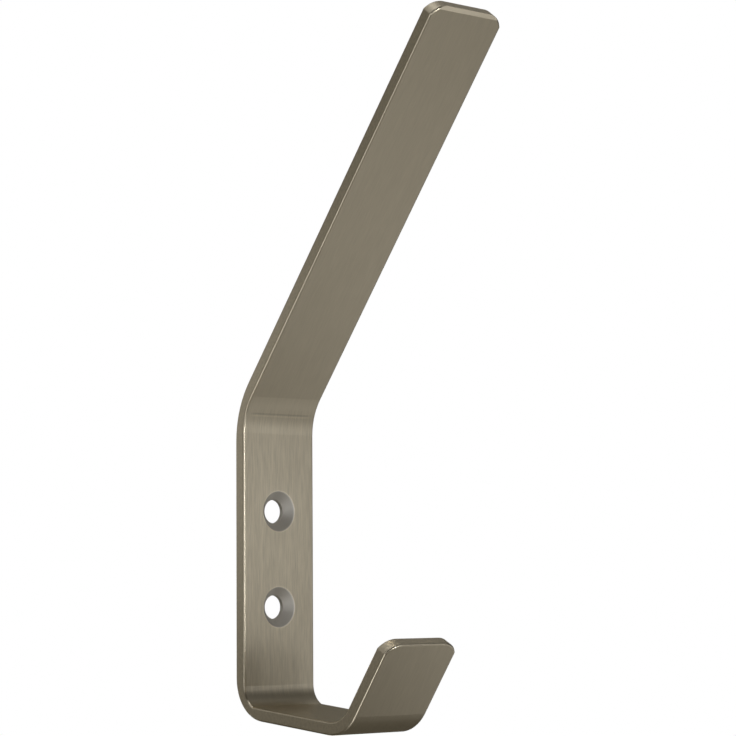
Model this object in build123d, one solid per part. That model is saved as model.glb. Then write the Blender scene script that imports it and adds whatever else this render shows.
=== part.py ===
from build123d import *

import os
from math import cos, radians, sin, tan

# Double robe hook: one flat metal bar, bent three times and screwed to a wall.
# Millimetres and degrees. X runs across the bar, +Y points into the wall and Z is up.
# The origin is on the wall face, midway between the two screw holes.

# Flat bar
bar_width = 20.0
bar_thickness = 2.8
edge_radius = 0.4
trim_allowance = 4.0

# Side profile, measured along the wall side of the bar from bend corner to bend corner
upper_corner_height = 32.8
lower_corner_drop = 34.1
arm_length = 101.9
arm_lean_angle = 37.7
floor_length = 35.8
floor_slope_angle = 5.3
lip_length = 23.8
lip_lean_angle = 35.3

# Bends. The two faces of the bar have their own radii, because bending thins it there.
# Inside the lower bend the metal turns short of the floor and leaves a crease across it
upper_bend_wall_radius = 20.8
upper_bend_room_radius = 12.8
lower_bend_wall_radius = 9.0
lower_bend_room_radius = 4.8
lower_bend_crease_angle = 19.3
lower_bend_crease_radius = 0.2
lip_bend_wall_radius = 9.6
lip_bend_room_radius = 6.8

# Ends. The die that rounds them is wider than the bar by an overlap on each side,
# so each rounding stops at a small corner
end_die_overlap = 0.55
end_die_radius = 4.6
lip_end_tilt_angle = 7.0
arm_bevel_length = 0.95
arm_bevel_depth = 0.3

# Screw holes
hole_distance = 21.0
hole_diameter = 5.2
countersink_diameter = 8.9
countersink_angle = 90.0
countersink_rim_radius = 0.15

# Headings in the side view, anticlockwise from +Y
QUARTER_TURN = 90.0
arm_heading = QUARTER_TURN + arm_lean_angle
floor_heading = 2 * QUARTER_TURN + floor_slope_angle
lip_heading = QUARTER_TURN + lip_lean_angle

SIDE_VIEW = Plane.YZ
ACROSS = Vector(1, 0, 0)
TO_ROOM = Vector(0, -1, 0)
through_limit = bar_thickness + edge_radius


def along(angle: float) -> Vector:
    """Unit vector of a heading, in the side view's own axes."""
    return Vector(cos(radians(angle)), sin(radians(angle)))


def lower_bend_room_arc(corner: Vector) -> Edge:
    """Arc inside the lower bend, from the plate's face down to the crease on the floor."""
    turn = QUARTER_TURN - floor_slope_angle - lower_bend_crease_angle
    reach = lower_bend_room_radius * (1 - cos(radians(turn)))
    drop = lower_bend_room_radius * sin(radians(turn))
    crease = corner - Vector(reach, reach * tan(radians(floor_slope_angle)))
    return JernArc(crease + Vector(reach, drop), -along(QUARTER_TURN), lower_bend_room_radius, -turn)


def side_profile(corners: list[Vector]) -> Sketch:
    """Outline of the bent bar seen from its edge, through the corners of its wall side."""
    wall_line = Polyline(corners)
    room_line = offset(wall_line, bar_thickness, kind=Kind.INTERSECTION, side=Side.RIGHT, closed=False)
    start, upper, lower, lip, end = [Vector(v) for v in room_line.vertices().sort_by(wall_line)]
    wall_radii = [upper_bend_wall_radius, lower_bend_wall_radius, lip_bend_wall_radius]
    wall_side = FilletPolyline(corners, radius=wall_radii)
    lower_arc = lower_bend_room_arc(lower)
    plate_side = FilletPolyline(start, upper, lower_arc @ 0, radius=upper_bend_room_radius)
    cradle_side = FilletPolyline(lower_arc @ 1, lip, end, radius=lip_bend_room_radius)
    ends = [Line(wall_side @ 0, plate_side @ 0), Line(wall_side @ 1, cradle_side @ 1)]
    outline = make_face([wall_side, plate_side, lower_arc, cradle_side, *ends])
    crease = outline.vertices().sort_by_distance(lower_arc @ 1)[0]
    return fillet(crease, lower_bend_crease_radius)


def end_plane(tip: Vector, angle: float) -> Plane:
    """Plane of a bar end: its x runs across the bar, its y out of the end."""
    origin = SIDE_VIEW.from_local_coords(tip)
    out = SIDE_VIEW.from_local_coords(tip + along(angle)) - origin
    return Plane(origin, x_dir=ACROSS, z_dir=ACROSS.cross(out))


def end_waste() -> Part:
    """What the die cuts off a bar whose end is at the origin and points along +Y."""
    die_width = bar_width + 2 * end_die_overlap
    kept = RectangleRounded(die_width, 3 * end_die_radius, end_die_radius, align=(Align.CENTER, Align.MAX))
    blank = Rectangle(2 * bar_width, 2 * (trim_allowance + end_die_radius))
    return extrude(Pos(0, trim_allowance) * blank - kept, 2 * bar_thickness, both=True)


def end_edges(body: Part, end: Plane) -> ShapeList[Edge]:
    """Edges round a bar end on both of its faces."""
    near = body.edges().filter_by(lambda e: end.to_local_coords(e.center()).Y > -end_die_radius)
    return near.filter_by(lambda e: e.length > through_limit)


def arm_bevel() -> Part:
    """Wedge taken off the arm's end where it meets the arm's room-side face."""
    out = along(arm_heading)
    to_face = along(arm_heading + QUARTER_TURN)
    corner = arm_tip + to_face * bar_thickness
    foot = corner - out * arm_bevel_length
    brow = corner - to_face * arm_bevel_depth
    slope = brow - foot
    beyond = corner + (out + to_face) * arm_bevel_length
    wedge = make_face(Polyline(foot - slope, brow + slope, beyond, close=True))
    return extrude(SIDE_VIEW * wedge, bar_width, both=True)


# Bent bar, left long at both ends
upper_corner = Vector(0, upper_corner_height)
lower_corner = Vector(0, -lower_corner_drop)
lip_corner = lower_corner + along(floor_heading) * floor_length
arm_tip = upper_corner + along(arm_heading) * arm_length
lip_tip = lip_corner + along(lip_heading) * lip_length
arm_stock = arm_tip + along(arm_heading) * trim_allowance
lip_stock = lip_tip + along(lip_heading) * trim_allowance
profile = side_profile([arm_stock, upper_corner, lower_corner, lip_corner, lip_stock])
bar = extrude(SIDE_VIEW * profile, bar_width / 2, both=True)

# Ends cut to length and rounded
arm_end = end_plane(arm_tip, arm_heading)
lip_end = end_plane(lip_tip, lip_heading - lip_end_tilt_angle)
bar -= arm_end * end_waste()
bar -= lip_end * end_waste()

# Outer edges softened, first along the bar and then round its ends
long_edges = bar.faces().filter_by(Axis.X).edges().filter_by(lambda e: e.length > through_limit)
bar = fillet(long_edges, edge_radius)
bar = fillet(end_edges(bar, arm_end) + end_edges(bar, lip_end), edge_radius)
bar -= arm_bevel()

# Countersunk screw holes, their rims softened
plate_face = Plane(TO_ROOM * bar_thickness, x_dir=ACROSS, z_dir=TO_ROOM)
screw_hole = CounterSinkHole(
    radius=hole_diameter / 2,
    counter_sink_radius=countersink_diameter / 2,
    counter_sink_angle=countersink_angle,
    depth=2 * bar_thickness,
)
bar -= plate_face * GridLocations(0, hole_distance, 1, 2) * screw_hole
rims = bar.edges().filter_by(lambda e: e.is_closed).sort_by(Axis.Y)[:2]
bar = fillet(rims, countersink_rim_radius)

os.makedirs("parts", exist_ok=True)
export_step(bar, "parts/hook_bar.step")
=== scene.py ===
"""Looks of a double robe hook: one satin nickel bar in soft studio light, as in the photograph."""

import logging
import math
from dataclasses import dataclass
from enum import Enum

import bmesh
import bpy
from mathutils import Matrix, Vector

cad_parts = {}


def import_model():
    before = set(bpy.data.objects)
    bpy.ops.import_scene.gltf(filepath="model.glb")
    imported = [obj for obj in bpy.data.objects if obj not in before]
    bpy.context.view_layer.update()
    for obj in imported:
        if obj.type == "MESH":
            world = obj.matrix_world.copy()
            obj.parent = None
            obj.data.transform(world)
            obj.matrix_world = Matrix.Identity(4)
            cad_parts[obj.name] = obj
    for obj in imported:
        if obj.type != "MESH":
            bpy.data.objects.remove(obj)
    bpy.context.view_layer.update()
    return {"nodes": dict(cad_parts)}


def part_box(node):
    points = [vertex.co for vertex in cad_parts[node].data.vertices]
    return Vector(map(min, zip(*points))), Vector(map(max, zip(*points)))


log = logging.getLogger("robe_hook")

Rgb = tuple[float, float, float]
Axes = tuple[float, float, float]
Span = tuple[float, float]
Socket = bpy.types.NodeSocket

MM = 0.001
WHITE: Rgb = (1.0, 1.0, 1.0)


class Node(Enum):
    """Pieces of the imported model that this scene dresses."""

    HOOK_BAR = "hook_bar"


class Kind(Enum):
    """Kinds of socket on a node group."""

    VALUE = "NodeSocketFloat"
    VECTOR = "NodeSocketVector"


class Blend(Enum):
    """What a mix node blends."""

    NUMBER = "FLOAT"
    COLOR = "RGBA"


def opaque(color: Rgb) -> tuple[float, float, float, float]:
    """Give a colour full cover."""
    return (*color, 1.0)


class NodeSheet:
    """A node tree with short calls for adding and joining its nodes."""

    def __init__(self, tree: bpy.types.NodeTree) -> None:
        """Start on a tree, which is emptied.

        Args:
            tree: The node tree of a material, a world or a group.
        """
        self.tree = tree
        tree.nodes.clear()

    def add(self, kind: str, **settings: object) -> bpy.types.Node:
        """Add a node.

        Args:
            kind: The node's type name.
            settings: Properties of the node, by name.

        Returns:
            The new node.
        """
        node = self.tree.nodes.new(kind)
        for key, value in settings.items():
            setattr(node, key, value)
        return node

    def feed(self, value: object, target: Socket) -> None:
        """Give an input a socket or a plain value.

        Args:
            value: A socket, a number, or a tuple of numbers.
            target: The input.
        """
        if isinstance(value, Socket):
            self.tree.links.new(value, target)
        else:
            target.default_value = value

    def math(self, operation: str, *terms: object, clamp: bool = False) -> Socket:
        """Add a maths node.

        Args:
            operation: The operation's name.
            terms: Sockets or numbers, as many as the operation takes.
            clamp: Whether the result is held between 0 and 1.

        Returns:
            The result's socket.
        """
        node = self.add("ShaderNodeMath", operation=operation, use_clamp=clamp)
        for place, value in enumerate(terms):
            self.feed(value, node.inputs[place])
        return node.outputs[0]

    def split(self, vector: Socket) -> tuple[Socket, Socket, Socket]:
        """Split a vector.

        Args:
            vector: The vector's socket.

        Returns:
            The sockets of its X, Y and Z.
        """
        parts = self.add("ShaderNodeSeparateXYZ")
        self.feed(vector, parts.inputs[0])
        return parts.outputs[0], parts.outputs[1], parts.outputs[2]

    def dot(self, first: Socket, second: Socket) -> Socket:
        """Multiply two vectors into one number.

        Args:
            first: A vector's socket.
            second: The other vector's socket.

        Returns:
            The dot product's socket.
        """
        node = self.add("ShaderNodeVectorMath", operation="DOT_PRODUCT")
        self.feed(first, node.inputs[0])
        self.feed(second, node.inputs[1])
        return node.outputs["Value"]

    def reach(self, first: Socket, second: Socket) -> Socket:
        """Work out how far a point lies from the origin of a plane.

        Args:
            first: The point's place along one axis.
            second: Its place along the other.

        Returns:
            The distance's socket.
        """
        squares = [self.math("POWER", side, 2.0) for side in (first, second)]
        return self.math("SQRT", self.math("ADD", *squares))

    def ramp(self, value: Socket, start: object, stop: object) -> Socket:
        """Rise smoothly from 0 to 1 while a value goes from start to stop.

        Args:
            value: The value's socket.
            start: Where the rise begins.
            stop: Where it ends.

        Returns:
            The result's socket.
        """
        node = self.add("ShaderNodeMapRange", interpolation_type="SMOOTHSTEP")
        self.feed(value, node.inputs["Value"])
        self.feed(start, node.inputs["From Min"])
        self.feed(stop, node.inputs["From Max"])
        return node.outputs["Result"]

    def spread(self, value: Socket, low: object, high: object) -> Socket:
        """Stretch a value between 0 and 1 over a new range.

        Args:
            value: The value's socket.
            low: What 0 becomes.
            high: What 1 becomes.

        Returns:
            The result's socket.
        """
        node = self.add("ShaderNodeMapRange", clamp=False)
        self.feed(value, node.inputs["Value"])
        self.feed(low, node.inputs["To Min"])
        self.feed(high, node.inputs["To Max"])
        return node.outputs["Result"]

    def mix(self, kind: Blend, factor: Socket, first: object, second: object) -> Socket:
        """Blend two values.

        Args:
            kind: Whether they are numbers or colours.
            factor: How much of the second to take, from 0 to 1.
            first: What 0 gives.
            second: What 1 gives.

        Returns:
            The result's socket.
        """
        node = self.add("ShaderNodeMix", data_type=kind.value)
        self.feed(factor, node.inputs["Factor"])
        self.feed(first, node.inputs["A"])
        self.feed(second, node.inputs["B"])
        return node.outputs["Result"]

    def layer(self, start: float, *changes: tuple[Socket, object]) -> Socket:
        """Add changes to a number, each where its mask lies.

        Args:
            start: The number without any change.
            changes: Pairs of a mask and what to add under it.

        Returns:
            The sum's socket.
        """
        total = start
        for mask, change in changes:
            total = self.math("MULTIPLY_ADD", mask, change, total)
        return total

    def noise(self, place: Socket, per_metre: Axes, detail: float, roughness: float) -> Socket:
        """Noise that is stretched differently along each axis.

        Args:
            place: The object coordinates.
            per_metre: How many grains fit in a metre along X, Y and Z.
            detail: How many finer layers lie on the first.
            roughness: How strong the finer layers are.

        Returns:
            The noise's value.
        """
        stretch = self.add("ShaderNodeVectorMath", operation="MULTIPLY")
        self.feed(place, stretch.inputs[0])
        self.feed(per_metre, stretch.inputs[1])
        node = self.add("ShaderNodeTexNoise")
        self.feed(stretch.outputs[0], node.inputs["Vector"])
        self.feed(1.0, node.inputs["Scale"])
        self.feed(detail, node.inputs["Detail"])
        self.feed(roughness, node.inputs["Roughness"])
        return node.outputs["Fac"]


class Effect:
    """A shader node group that puts out masks and heights over the surface."""

    name = "effect"
    inputs: dict[str, Kind] = {}
    outputs: tuple[str, ...] = ()

    def group(self) -> bpy.types.NodeTree:
        """Build the group, or find it if it is already there.

        Returns:
            The group's node tree.
        """
        if self.name in bpy.data.node_groups:
            return bpy.data.node_groups[self.name]
        tree = bpy.data.node_groups.new(self.name, "ShaderNodeTree")
        sheet = NodeSheet(tree)
        for label, kind in self.inputs.items():
            tree.interface.new_socket(label, in_out="INPUT", socket_type=kind.value)
        for label in self.outputs:
            tree.interface.new_socket(label, in_out="OUTPUT", socket_type=Kind.VALUE.value)
        source = sheet.add("NodeGroupInput")
        results = self.draw(sheet, source.outputs)
        target = sheet.add("NodeGroupOutput")
        for label in self.outputs:
            sheet.feed(results[label], target.inputs[label])
        return tree

    def draw(self, sheet: NodeSheet, given: bpy.types.NodeOutputs) -> dict[str, Socket]:
        """Draw the effect.

        Args:
            sheet: The group's sheet.
            given: The group's inputs, as sockets to read.

        Returns:
            The socket for each output.
        """
        raise NotImplementedError

    def place(self, sheet: NodeSheet, **values: object) -> bpy.types.NodeOutputs:
        """Place the group in a material.

        Args:
            sheet: The material's sheet.
            values: A socket or a number for each input, under the input's name in lower case,
                joined by underscores.

        Returns:
            The group's outputs.
        """
        node = sheet.add("ShaderNodeGroup", node_tree=self.group())
        for label in self.inputs:
            sheet.feed(values[label.lower().replace(" ", "_")], node.inputs[label])
        return node.outputs


class BrushedLines(Effect):
    """Fine scratches that run along the bar, with broader bands of tone between them."""

    name = "brushed_lines"
    inputs = {"Place": Kind.VECTOR}
    outputs = ("Lines", "Bands")
    lines_per_metre: Axes = (3600.0, 240.0, 240.0)
    bands_per_metre: Axes = (500.0, 60.0, 60.0)
    line_span: Span = (0.15, 0.85)
    band_span: Span = (0.3, 0.7)

    def draw(self, sheet: NodeSheet, given: bpy.types.NodeOutputs) -> dict[str, Socket]:
        """Draw the lines.

        Args:
            sheet: The group's sheet.
            given: The group's inputs.

        Returns:
            Lines, from 0 in a scratch to 1 between scratches, and Bands, from dark to light.
        """
        lines = sheet.noise(given["Place"], self.lines_per_metre, detail=3.0, roughness=0.55)
        bands = sheet.noise(given["Place"], self.bands_per_metre, detail=2.0, roughness=0.5)
        return {
            "Lines": sheet.ramp(lines, *self.line_span),
            "Bands": sheet.ramp(bands, *self.band_span),
        }


class CutGrain(Effect):
    """Small pits and dull spots on metal that was cut and tumbled."""

    name = "cut_grain"
    inputs = {"Place": Kind.VECTOR}
    outputs = ("Grain",)
    grains_per_metre: Axes = (1500.0, 1500.0, 1500.0)
    grain_span: Span = (0.32, 0.68)

    def draw(self, sheet: NodeSheet, given: bpy.types.NodeOutputs) -> dict[str, Socket]:
        """Draw the grain.

        Args:
            sheet: The group's sheet.
            given: The group's inputs.

        Returns:
            Grain, from 0 in a pit to 1 on the metal round it.
        """
        grain = sheet.noise(given["Place"], self.grains_per_metre, detail=4.0, roughness=0.65)
        return {"Grain": sheet.ramp(grain, *self.grain_span)}


class BarZones(Effect):
    """Where the bar's cut sides, its softened edges and its brushed faces are.

    The cut and turned spans are read on how squarely the surface looks the way of the bar's
    faces, and the room and upright spans on how far it looks into the wall.
    """

    name = "bar_zones"
    inputs = {
        "Place": Kind.VECTOR,
        "Facing": Kind.VECTOR,
        "End Heading": Kind.VECTOR,
        "Face Heading": Kind.VECTOR,
        "Arm Tip": Kind.VALUE,
        "Lip Tip": Kind.VALUE,
        "Corner Reach": Kind.VALUE,
    }
    outputs = ("Cut", "Edge", "Room Face", "Upright")
    cut_span: Span = (0.55, 0.2)
    turned_span: Span = (0.9995, 0.98)
    room_span: Span = (0.0, -0.3)
    upright_span: Span = (0.84, 0.97)

    def draw(self, sheet: NodeSheet, given: bpy.types.NodeOutputs) -> dict[str, Socket]:
        """Draw the zones.

        Args:
            sheet: The group's sheet.
            given: The group's inputs.

        Returns:
            Cut, on the sides, the ends and their round corners. Edge, on the roundings next to
            them. Room Face, on what faces away from the wall. Upright, on the plate's two faces.
        """
        across, inward, _ = sheet.split(given["Facing"])
        at_end = self.near_ends(sheet, given)
        along_bar = sheet.math("SUBTRACT", 1.0, sheet.math("MULTIPLY", across, across), clamp=True)
        along_bar = sheet.math("SQRT", along_bar)
        at_tip = sheet.math("ABSOLUTE", sheet.dot(given["Facing"], given["Face Heading"]))
        flat = sheet.mix(Blend.NUMBER, at_end, along_bar, at_tip)
        cut = sheet.ramp(flat, *self.cut_span)
        turned = sheet.ramp(flat, *self.turned_span)
        return {
            "Cut": cut,
            "Edge": sheet.math("SUBTRACT", turned, cut, clamp=True),
            "Room Face": sheet.ramp(inward, *self.room_span),
            "Upright": sheet.ramp(sheet.math("ABSOLUTE", inward), *self.upright_span),
        }

    def near_ends(self, sheet: NodeSheet, given: bpy.types.NodeOutputs) -> Socket:
        """Find the rounded stretch at both ends of the bar.

        Args:
            sheet: The group's sheet.
            given: The group's inputs.

        Returns:
            The mask's socket.
        """
        _, _, height = sheet.split(given["Place"])
        reach = sheet.dot(given["Place"], given["End Heading"])
        arm_corner = sheet.math("SUBTRACT", given["Arm Tip"], given["Corner Reach"])
        lip_corner = sheet.math("SUBTRACT", given["Lip Tip"], given["Corner Reach"])
        at_arm = sheet.math("GREATER_THAN", reach, arm_corner)
        at_lip = sheet.math("GREATER_THAN", reach, lip_corner)
        low = sheet.math("LESS_THAN", height, 0.0)
        return sheet.math("MULTIPLY_ADD", at_lip, low, at_arm, clamp=True)


class TurnedRings(Effect):
    """Tool marks of the countersinks, in rings round both holes.

    The cone and rim spans are shares of the countersink's radius, and the wall span is read on
    how far the surface looks into the wall. The crest span brings a sine to between 0 and 1.
    """

    name = "turned_rings"
    inputs = {
        "Place": Kind.VECTOR,
        "Facing": Kind.VECTOR,
        "Hole Height": Kind.VALUE,
        "Countersink Radius": Kind.VALUE,
        "Ring Pitch": Kind.VALUE,
    }
    outputs = ("Countersink", "Rings", "Rim Highlight")
    cone_span: Span = (1.02, 0.99)
    rim_inner_span: Span = (0.95, 0.98)
    rim_outer_span: Span = (1.06, 1.01)
    wall_span: Span = (0.6, 0.3)
    crest_span: Span = (0.5, 1.0)

    def draw(self, sheet: NodeSheet, given: bpy.types.NodeOutputs) -> dict[str, Socket]:
        """Draw the rings.

        Args:
            sheet: The group's sheet.
            given: The group's inputs.

        Returns:
            Countersink, on the two cones and bores. Rings, from groove to crest. Rim, on the
            edge round each cone, where a highlight is painted.
        """
        across, _, height = sheet.split(given["Place"])
        _, inward, _ = sheet.split(given["Facing"])
        rise = sheet.math("SUBTRACT", sheet.math("ABSOLUTE", height), given["Hole Height"])
        radius = sheet.reach(across, rise)
        share = sheet.math("DIVIDE", radius, given["Countersink Radius"])
        turns = sheet.math("MULTIPLY", sheet.math("DIVIDE", radius, given["Ring Pitch"]), math.tau)
        off_wall = sheet.ramp(inward, *self.wall_span)
        in_rim = sheet.ramp(share, *self.rim_inner_span)
        on_rim = sheet.math("MULTIPLY", in_rim, sheet.ramp(share, *self.rim_outer_span))
        return {
            "Countersink": sheet.math("MULTIPLY", sheet.ramp(share, *self.cone_span), off_wall),
            "Rings": sheet.spread(sheet.math("SINE", turns), *self.crest_span),
            "Rim Highlight": sheet.math("MULTIPLY", on_rim, off_wall),
        }


class BendMark(Effect):
    """The shallow line that the bending tool leaves across the bar.

    The halves' offset from the line's middle, and the span round the middle of each, are in half
    widths of the line. The full reach is the share of its reach where the line hasn't faded.
    """

    name = "bend_mark"
    inputs = {
        "Place": Kind.VECTOR,
        "Height": Kind.VALUE,
        "Half Width": Kind.VALUE,
        "Reach": Kind.VALUE,
    }
    outputs = ("Groove", "Lip")
    wavers_per_metre: Axes = (180.0, 0.0, 0.0)
    half_offset: float = 0.8
    half_span: Span = (1.2, 0.2)
    full_reach: float = 0.7

    def draw(self, sheet: NodeSheet, given: bpy.types.NodeOutputs) -> dict[str, Socket]:
        """Draw the line.

        Args:
            sheet: The group's sheet.
            given: The group's inputs.

        Returns:
            Groove, on the line's upper half, which is sunk and gets painted shade, and Lip, on its
            lower half, which gets a painted highlight.
        """
        across, _, height = sheet.split(given["Place"])
        waver = sheet.noise(given["Place"], self.wavers_per_metre, detail=2.0, roughness=0.5)
        shift = sheet.math("MULTIPLY", given["Half Width"], waver)
        rise = sheet.math("SUBTRACT", height, sheet.math("ADD", given["Height"], shift))
        above = sheet.math("DIVIDE", rise, given["Half Width"])
        full = sheet.math("MULTIPLY", given["Reach"], self.full_reach)
        fade = sheet.ramp(sheet.math("ABSOLUTE", across), given["Reach"], full)
        halves = {"Groove": self.half_offset, "Lip": -self.half_offset}
        marks = {}
        for label, offset in halves.items():
            distance = sheet.math("ABSOLUTE", sheet.math("SUBTRACT", above, offset))
            marks[label] = sheet.math("MULTIPLY", sheet.ramp(distance, *self.half_span), fade)
        return marks


@dataclass(frozen=True)
class Surface:
    """Masks of the bar's zones and marks, and the patterns that lie in them.

    The strokes are the mask of the brushed faces, weaker where they slant.
    """

    strokes: Socket
    side: Socket
    edge: Socket
    sink: Socket
    rim: Socket
    groove: Socket
    lip: Socket
    lines: Socket
    bands: Socket
    grain: Socket
    rings: Socket


@dataclass(frozen=True)
class SatinNickel:
    """Brushed nickel on the faces, rougher on the cut sides, with a painted highlight on the
    edges.

    Colours are what the bare metal reflects. The slant share is how much of the brushing shows
    on the slanted faces. Shades and painted light are shares of the colour, and the other
    roughness fields are added to that of the faces. The edges, the rims of the countersinks and
    the bend mark's lower half get a painted highlight, and the mark's upper half a painted shade.
    """

    face: Rgb = (0.63, 0.547, 0.405)
    sink_color: Rgb = (0.67, 0.63, 0.565)
    slant_share: float = 0.35
    line_shade: float = 0.11
    band_shade: float = 0.03
    grain_shade: float = 0.07
    # Painted highlight along the edges, as a share of the colour.
    edge_painted_highlight: float = 0.12
    # Painted shade on the bend mark's upper half and a painted highlight on its lower half.
    groove_painted_shade: float = 0.17
    lip_painted_highlight: float = 0.11
    # Painted highlight round the rims of the countersinks.
    rim_painted_highlight: float = 0.3
    face_roughness: float = 0.4
    line_roughness: float = 0.07
    side_roughness: float = 0.06
    edge_roughness: float = -0.1
    sink_roughness: float = 0.25
    line_depth_mm: float = 0.0015
    grain_depth_mm: float = 0.004
    ring_depth_mm: float = 0.003
    groove_depth_mm: float = 0.008

    def build(self, bar: "HookBar", arm_tip: float, lip_tip: float) -> bpy.types.Material:
        """Make the material.

        Args:
            bar: The bar, for the places of its holes, its ends and its bend mark.
            arm_tip: How far the arm's end lies along the ends' heading, in metres.
            lip_tip: The same for the lip's end.

        Returns:
            The material.
        """
        material = bpy.data.materials.new("satin_nickel")
        material.use_nodes = True
        sheet = NodeSheet(material.node_tree)
        surface = self.survey(sheet, bar, arm_tip, lip_tip)
        colors = (opaque(self.face), opaque(self.sink_color))
        shaded = sheet.add("ShaderNodeVectorMath", operation="SCALE")
        sheet.feed(sheet.mix(Blend.COLOR, surface.sink, *colors), shaded.inputs[0])
        sheet.feed(self.tone(sheet, surface), shaded.inputs["Scale"])
        shader = sheet.add("ShaderNodeBsdfPrincipled")
        shader.inputs["Metallic"].default_value = 1.0
        sheet.feed(shaded.outputs[0], shader.inputs["Base Color"])
        sheet.feed(self.roughness(sheet, surface), shader.inputs["Roughness"])
        sheet.feed(self.relief(sheet, surface), shader.inputs["Normal"])
        output = sheet.add("ShaderNodeOutputMaterial")
        sheet.feed(shader.outputs["BSDF"], output.inputs["Surface"])
        return material

    def survey(self, sheet: NodeSheet, bar: "HookBar", arm_tip: float, lip_tip: float) -> Surface:
        """Place the effects and tell the bar's zones apart.

        Args:
            sheet: The material's sheet.
            bar: The bar.
            arm_tip: How far the arm's end lies along the ends' heading, in metres.
            lip_tip: The same for the lip's end.

        Returns:
            The masks and patterns.
        """
        where = sheet.add("ShaderNodeTexCoord")
        place, facing = where.outputs["Object"], where.outputs["Normal"]
        brushed = BrushedLines().place(sheet, place=place)
        cut = CutGrain().place(sheet, place=place)
        zones = BarZones().place(
            sheet,
            place=place,
            facing=facing,
            end_heading=bar.end_heading(),
            face_heading=bar.face_heading(),
            arm_tip=arm_tip,
            lip_tip=lip_tip,
            corner_reach=bar.corner_reach_mm * MM,
        )
        holes = TurnedRings().place(
            sheet,
            place=place,
            facing=facing,
            hole_height=bar.hole_distance_mm / 2 * MM,
            countersink_radius=bar.countersink_diameter_mm / 2 * MM,
            ring_pitch=bar.ring_pitch_mm * MM,
        )
        mark = BendMark().place(
            sheet,
            place=place,
            height=bar.mark_height_mm * MM,
            half_width=bar.mark_width_mm / 2 * MM,
            reach=bar.mark_reach_mm * MM,
        )
        sink = holes["Countersink"]
        plain = sheet.math("SUBTRACT", 1.0, sink)
        side = sheet.math("MULTIPLY", zones["Cut"], plain)
        edge = sheet.math("MULTIPLY", zones["Edge"], plain)
        faces = sheet.math("SUBTRACT", sheet.math("SUBTRACT", plain, side), edge, clamp=True)
        pressure = sheet.spread(zones["Upright"], self.slant_share, 1.0)
        return Surface(
            strokes=sheet.math("MULTIPLY", faces, pressure),
            side=side,
            edge=edge,
            sink=sink,
            # Where a highlight is painted round each countersink.
            rim=holes["Rim Highlight"],
            # The bend mark's halves: the upper is sunk and gets painted shade, the lower a painted
            # highlight.
            groove=sheet.math("MULTIPLY", mark["Groove"], zones["Room Face"]),
            lip=sheet.math("MULTIPLY", mark["Lip"], zones["Room Face"]),
            lines=brushed["Lines"],
            bands=brushed["Bands"],
            grain=cut["Grain"],
            rings=holes["Rings"],
        )

    def tone(self, sheet: NodeSheet, surface: Surface) -> Socket:
        """Work out how light or dark the metal's colour is.

        Args:
            sheet: The material's sheet.
            surface: The masks and patterns.

        Returns:
            A factor round 1 for the colour.
        """
        lines = sheet.spread(surface.lines, -self.line_shade, self.line_shade)
        bands = sheet.spread(surface.bands, -self.band_shade, self.band_shade)
        grain = sheet.spread(surface.grain, -self.grain_shade, self.grain_shade)
        return sheet.layer(
            1.0,
            (surface.strokes, sheet.math("ADD", lines, bands)),
            (surface.side, grain),
            # Painted highlight along the rounded edges.
            (surface.edge, self.edge_painted_highlight),
            # Painted shade on the bend mark's upper half.
            (surface.groove, -self.groove_painted_shade),
            # Painted highlight on the bend mark's lower half.
            (surface.lip, self.lip_painted_highlight),
            # Painted highlight round the rims of the countersinks.
            (surface.rim, self.rim_painted_highlight),
        )

    def roughness(self, sheet: NodeSheet, surface: Surface) -> Socket:
        """Work out the roughness.

        Args:
            sheet: The material's sheet.
            surface: The masks and patterns.

        Returns:
            The roughness.
        """
        lines = sheet.spread(surface.lines, self.line_roughness, -self.line_roughness)
        return sheet.layer(
            self.face_roughness,
            (surface.strokes, lines),
            (surface.side, self.side_roughness),
            (surface.edge, self.edge_roughness),
            (surface.sink, self.sink_roughness),
        )

    def relief(self, sheet: NodeSheet, surface: Surface) -> Socket:
        """Raise and lower the surface a little.

        Args:
            sheet: The material's sheet.
            surface: The masks and patterns.

        Returns:
            The surface's normal.
        """
        height = sheet.layer(
            0.0,
            (surface.strokes, sheet.math("MULTIPLY", surface.lines, self.line_depth_mm * MM)),
            (surface.side, sheet.math("MULTIPLY", surface.grain, self.grain_depth_mm * MM)),
            (surface.sink, sheet.math("MULTIPLY", surface.rings, self.ring_depth_mm * MM)),
            (surface.groove, -self.groove_depth_mm * MM),
        )
        bump = sheet.add("ShaderNodeBump")
        sheet.feed(height, bump.inputs["Height"])
        sheet.feed(1.0, bump.inputs["Distance"])
        return bump.outputs["Normal"]


@dataclass(frozen=True)
class HookBar:
    """The bent bar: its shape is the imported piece's, and only its finish is made here.

    The end angle is in degrees, from straight into the wall. The bend mark's height is above the
    middle between the holes, and its reach is to each side of the bar's middle line. The corner
    reach is how far the rounded corners go in from the ends.
    """

    finish: SatinNickel = SatinNickel()
    hole_distance_mm: float = 21.0
    countersink_diameter_mm: float = 8.9
    ring_pitch_mm: float = 0.3
    mark_height_mm: float = 31.4
    mark_width_mm: float = 0.5
    mark_reach_mm: float = 9.4
    end_angle: float = 126.0
    corner_reach_mm: float = 4.4

    def end_heading(self) -> Axes:
        """Which way both ends roughly point: up and away from the wall."""
        angle = math.radians(self.end_angle)
        return (0.0, math.cos(angle), math.sin(angle))

    def face_heading(self) -> Axes:
        """Which way the faces near both ends look: square to the ends' heading."""
        _, inward, up = self.end_heading()
        return (0.0, up, -inward)

    def dress(self, piece: bpy.types.Object) -> None:
        """Give the bar its finish in all its material slots.

        Args:
            piece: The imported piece.
        """
        heading = Vector(self.end_heading())
        reaches = [(vertex.co.dot(heading), vertex.co.z) for vertex in piece.data.vertices]
        arm_tip = max(reach for reach, _ in reaches)
        lip_tip = max(reach for reach, height in reaches if height < 0.0)
        material = self.finish.build(self, arm_tip, lip_tip)
        for place in piece.material_slots:
            place.material = material
        log.info("%s dressed in %s", piece.name, material.name)


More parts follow.
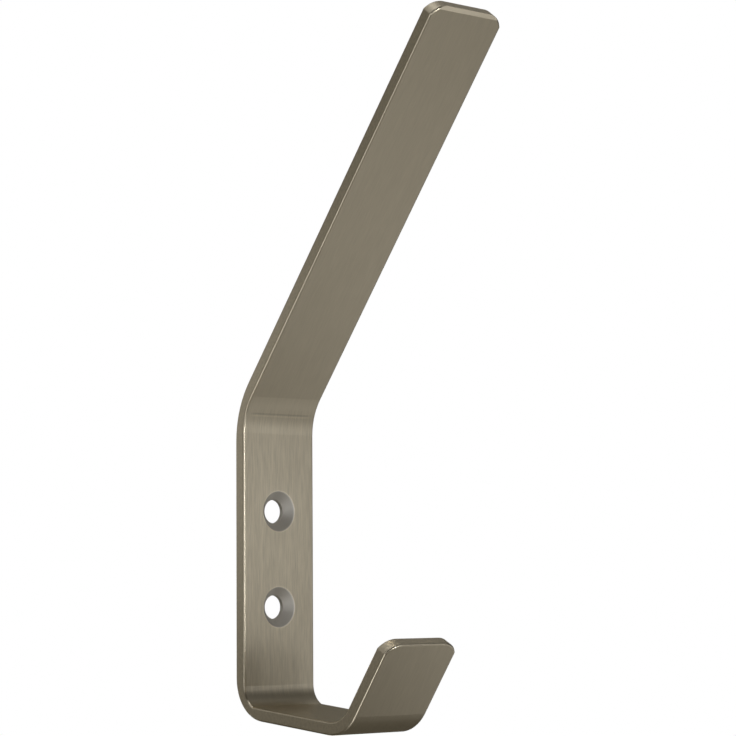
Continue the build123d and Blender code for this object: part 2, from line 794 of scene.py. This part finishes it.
@dataclass(frozen=True)
class PhotoCamera:
    """Pinhole camera fitted to the photograph's outline.

    The position is in millimetres in the hook's own frame, the angles are in degrees,
    and the focal length and frame are in the photograph's pixels.
    """

    position_mm: Axes = (-362.522, -434.533, -5.722)
    heading: float = 42.032
    pitch: float = 4.846
    roll: float = -0.346
    focal_px: float = 2556.473
    frame_px: float = 736.0
    sensor_mm: float = 36.0
    near_mm: float = 10.0

    def axes(self) -> tuple[Vector, Vector, Vector]:
        """Work out the camera's own axes.

        Returns:
            The unit vectors to the picture's right, to its top and out towards the viewer.
        """
        heading = math.radians(self.heading)
        pitch = math.radians(self.pitch)
        roll = math.radians(self.roll)
        level = Vector((math.sin(heading), math.cos(heading), 0))
        sideways = Vector((math.cos(heading), -math.sin(heading), 0))
        up = Vector((0, 0, 1))
        forward = level * math.cos(pitch) + up * math.sin(pitch)
        upright = up * math.cos(pitch) - level * math.sin(pitch)
        right = sideways * math.cos(roll) + upright * math.sin(roll)
        top = upright * math.cos(roll) - sideways * math.sin(roll)
        return right, top, -forward

    def build(self) -> bpy.types.Object:
        """Make the camera and set it as the scene's.

        Returns:
            The camera object.
        """
        data = bpy.data.cameras.new("photo_camera")
        data.sensor_width = self.sensor_mm
        data.lens = self.focal_px / self.frame_px * self.sensor_mm
        data.clip_start = self.near_mm * MM
        camera = bpy.data.objects.new("photo_camera", data)
        turn = Matrix(self.axes()).transposed().to_4x4()
        camera.matrix_world = Matrix.Translation(Vector(self.position_mm) * MM) @ turn
        bpy.context.scene.collection.objects.link(camera)
        bpy.context.scene.camera = camera
        return camera


@dataclass(frozen=True)
class SoftCard:
    """A soft round studio light, seen from the hook in one direction.

    Azimuth 0 is straight out into the room and 90 is to the hook's right, seen from the room.
    The power is in watts.
    """

    name: str
    azimuth: float
    elevation: float
    power: float
    color: Rgb = (0.98, 1.02, 1.08)
    size_mm: float = 420.0
    distance_mm: float = 900.0
    aim_height_mm: float = 30.0
    aim_depth_mm: float = -20.0

    def build(self) -> bpy.types.Object:
        """Make the light and turn it to its aim.

        Returns:
            The light object.
        """
        azimuth = math.radians(self.azimuth)
        elevation = math.radians(self.elevation)
        level = math.cos(elevation)
        out = Vector((math.sin(azimuth) * level, -math.cos(azimuth) * level, math.sin(elevation)))
        aim = Vector((0.0, self.aim_depth_mm, self.aim_height_mm))
        data = bpy.data.lights.new(self.name, "AREA")
        data.shape = "DISK"
        data.size = self.size_mm * MM
        data.energy = self.power
        data.color = self.color
        light = bpy.data.objects.new(self.name, data)
        light.location = (aim + out * self.distance_mm) * MM
        light.rotation_euler = out.to_track_quat("Z", "Y").to_euler()
        light.visible_camera = False
        bpy.context.scene.collection.objects.link(light)
        return light


@dataclass(frozen=True)
class CloseCard(SoftCard):
    """A small card close to the plate."""

    size_mm: float = 120.0
    distance_mm: float = 220.0


@dataclass(frozen=True)
class SlantCard(SoftCard):
    """A card at a middle distance, for the slanted faces of the arm and the lip."""

    size_mm: float = 180.0
    distance_mm: float = 330.0


@dataclass(frozen=True)
class FrontCard(SoftCard):
    """A small card in front, aimed at the middle of the plate."""

    size_mm: float = 100.0
    distance_mm: float = 600.0
    aim_height_mm: float = 0.0


@dataclass(frozen=True)
class WideCard(SoftCard):
    """A large card, mostly for the sides that the photograph doesn't show."""

    size_mm: float = 700.0


@dataclass(frozen=True)
class Studio:
    """Pale floor under the hook, white surroundings and the soft cards.

    The glows and the bounce are strengths of light. The wall span is read on how far a direction
    points into the wall, and the bounce span on how far it points up.
    """

    cards: tuple[SoftCard, ...]
    floor_drop_mm: float = 60.0
    floor_radius_mm: float = 60000.0
    floor_sides: int = 96
    floor_color: Rgb = (0.8, 0.8, 0.79)
    floor_glow: float = 0.72
    fade_start_mm: float = 150.0
    fade_stop_mm: float = 800.0
    glow_color: Rgb = (1.03, 0.95, 0.74)
    room_glow: float = 0.03
    wall_glow: float = 0.08
    wall_span: Span = (-0.2, 0.4)
    floor_bounce: float = 0.07
    bounce_span: Span = (0.1, -0.4)

    def build(self, low: Vector) -> None:
        """Make the surroundings, the floor and the lights.

        Args:
            low: The lowest corner of the hook's box.
        """
        self.surroundings()
        self.floor(low.z - self.floor_drop_mm * MM)
        for card in self.cards:
            card.build()
            log.info("lit %s", card.name)

    def surroundings(self) -> None:
        """Make a white backdrop for the camera and a dim light for the hook, zone by zone."""
        world = bpy.data.worlds.new("studio")
        world.use_nodes = True
        bpy.context.scene.world = world
        sheet = NodeSheet(world.node_tree)
        _, inward, up = sheet.split(sheet.add("ShaderNodeTexCoord").outputs["Generated"])
        at_wall = sheet.ramp(inward, *self.wall_span)
        at_floor = sheet.ramp(up, *self.bounce_span)
        shade = sheet.mix(Blend.NUMBER, at_wall, self.room_glow, self.wall_glow)
        shade = sheet.mix(Blend.NUMBER, at_floor, shade, self.floor_bounce)
        seen = sheet.add("ShaderNodeLightPath").outputs["Is Camera Ray"]
        strength = sheet.mix(Blend.NUMBER, seen, shade, 1.0)
        tint = sheet.mix(Blend.COLOR, seen, opaque(self.glow_color), opaque(WHITE))
        background = sheet.add("ShaderNodeBackground")
        sheet.feed(tint, background.inputs["Color"])
        sheet.feed(strength, background.inputs["Strength"])
        output = sheet.add("ShaderNodeOutputWorld")
        sheet.feed(background.outputs["Background"], output.inputs["Surface"])

    def floor(self, height: float) -> bpy.types.Object:
        """Make the round floor, which the hook's light and reflections pass through.

        Args:
            height: The floor's height, in metres.

        Returns:
            The floor object.
        """
        mesh = bpy.data.meshes.new("floor")
        shape = bmesh.new()
        bmesh.ops.create_circle(
            shape,
            cap_ends=True,
            cap_tris=False,
            segments=self.floor_sides,
            radius=self.floor_radius_mm * MM,
            matrix=Matrix.Translation((0.0, 0.0, height)),
        )
        shape.to_mesh(mesh)
        shape.free()
        mesh.materials.append(self.floor_finish())
        floor = bpy.data.objects.new("floor", mesh)
        bpy.context.scene.collection.objects.link(floor)
        floor.visible_glossy = False
        floor.visible_shadow = False
        return floor

    def floor_finish(self) -> bpy.types.Material:
        """Make the floor's pale finish, which fades to white far out and is clear from below.

        Returns:
            The material.
        """
        material = bpy.data.materials.new("pale_floor")
        material.use_nodes = True
        sheet = NodeSheet(material.node_tree)
        across, inward, _ = sheet.split(sheet.add("ShaderNodeTexCoord").outputs["Object"])
        away = sheet.reach(across, inward)
        far = sheet.ramp(away, self.fade_start_mm * MM, self.fade_stop_mm * MM)
        near = sheet.add("ShaderNodeBsdfPrincipled")
        near.inputs["Base Color"].default_value = opaque(self.floor_color)
        near.inputs["Roughness"].default_value = 1.0
        near.inputs["Specular IOR Level"].default_value = 0.0
        near.inputs["Emission Color"].default_value = opaque(WHITE)
        near.inputs["Emission Strength"].default_value = self.floor_glow
        white = sheet.add("ShaderNodeEmission")
        fade = sheet.add("ShaderNodeMixShader")
        sheet.feed(far, fade.inputs["Fac"])
        sheet.feed(near.outputs["BSDF"], fade.inputs[1])
        sheet.feed(white.outputs["Emission"], fade.inputs[2])
        clear = sheet.add("ShaderNodeBsdfTransparent")
        below = sheet.add("ShaderNodeNewGeometry").outputs["Backfacing"]
        under = sheet.add("ShaderNodeMixShader")
        sheet.feed(below, under.inputs["Fac"])
        sheet.feed(fade.outputs["Shader"], under.inputs[1])
        sheet.feed(clear.outputs["BSDF"], under.inputs[2])
        output = sheet.add("ShaderNodeOutputMaterial")
        sheet.feed(under.outputs["Shader"], output.inputs["Surface"])
        return material


CARDS = (
    SoftCard("room_fill", 15, -15, 0.5),
    FrontCard("front_key", 5, 2, 0.53),
    FrontCard("front_right_key", 45, 2, 0.038),
    CloseCard("plate_key", 25, 0, 0.018),
    CloseCard("plate_right_key", 55, 0, 0.0052),
    SlantCard("arm_key", 65, -40, 0.0275, aim_height_mm=58),
    SlantCard("arm_right_key", 80, -40, 0.0059, aim_height_mm=60),
    SlantCard("lip_key", 40, -30, 0.0125, aim_height_mm=-20),
    SoftCard("edge_key", -55, 0, 0.65),
    SoftCard("bend_edge_key", -62, -24, 0.6),
    SoftCard("low_edge_key", -72, -48, 0.8),
    CloseCard("side_key", -140, 3, 0.016, aim_height_mm=25),
    SoftCard("side_fill", -140, 5, 0.05),
    SoftCard("high_fill", 60, 60, 0.175),
    SoftCard("cradle_key", 45, 38, 0.045),
    SoftCard("top_fill", -60, 75, 0.8),
    WideCard("wall_fill", 165, -5, 0.7),
    WideCard("back_fill", 180, 68, 0.5),
    WideCard("back_left_fill", -120, 44, 0.5),
    WideCard("back_right_fill", 125, 42, 0.22),
    WideCard("floor_fill", 0, -80, 0.3),
)


def main() -> None:
    """Build the scene in order and report each piece."""
    logging.basicConfig(level=logging.INFO, format="%(name)s: %(message)s")
    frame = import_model()
    bpy.context.scene.view_settings.view_transform = "Standard"
    HookBar().dress(frame["nodes"][Node.HOOK_BAR.value])
    low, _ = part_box(Node.HOOK_BAR.value)
    Studio(cards=CARDS).build(low)
    PhotoCamera().build()


if __name__ == "__main__":
    main()
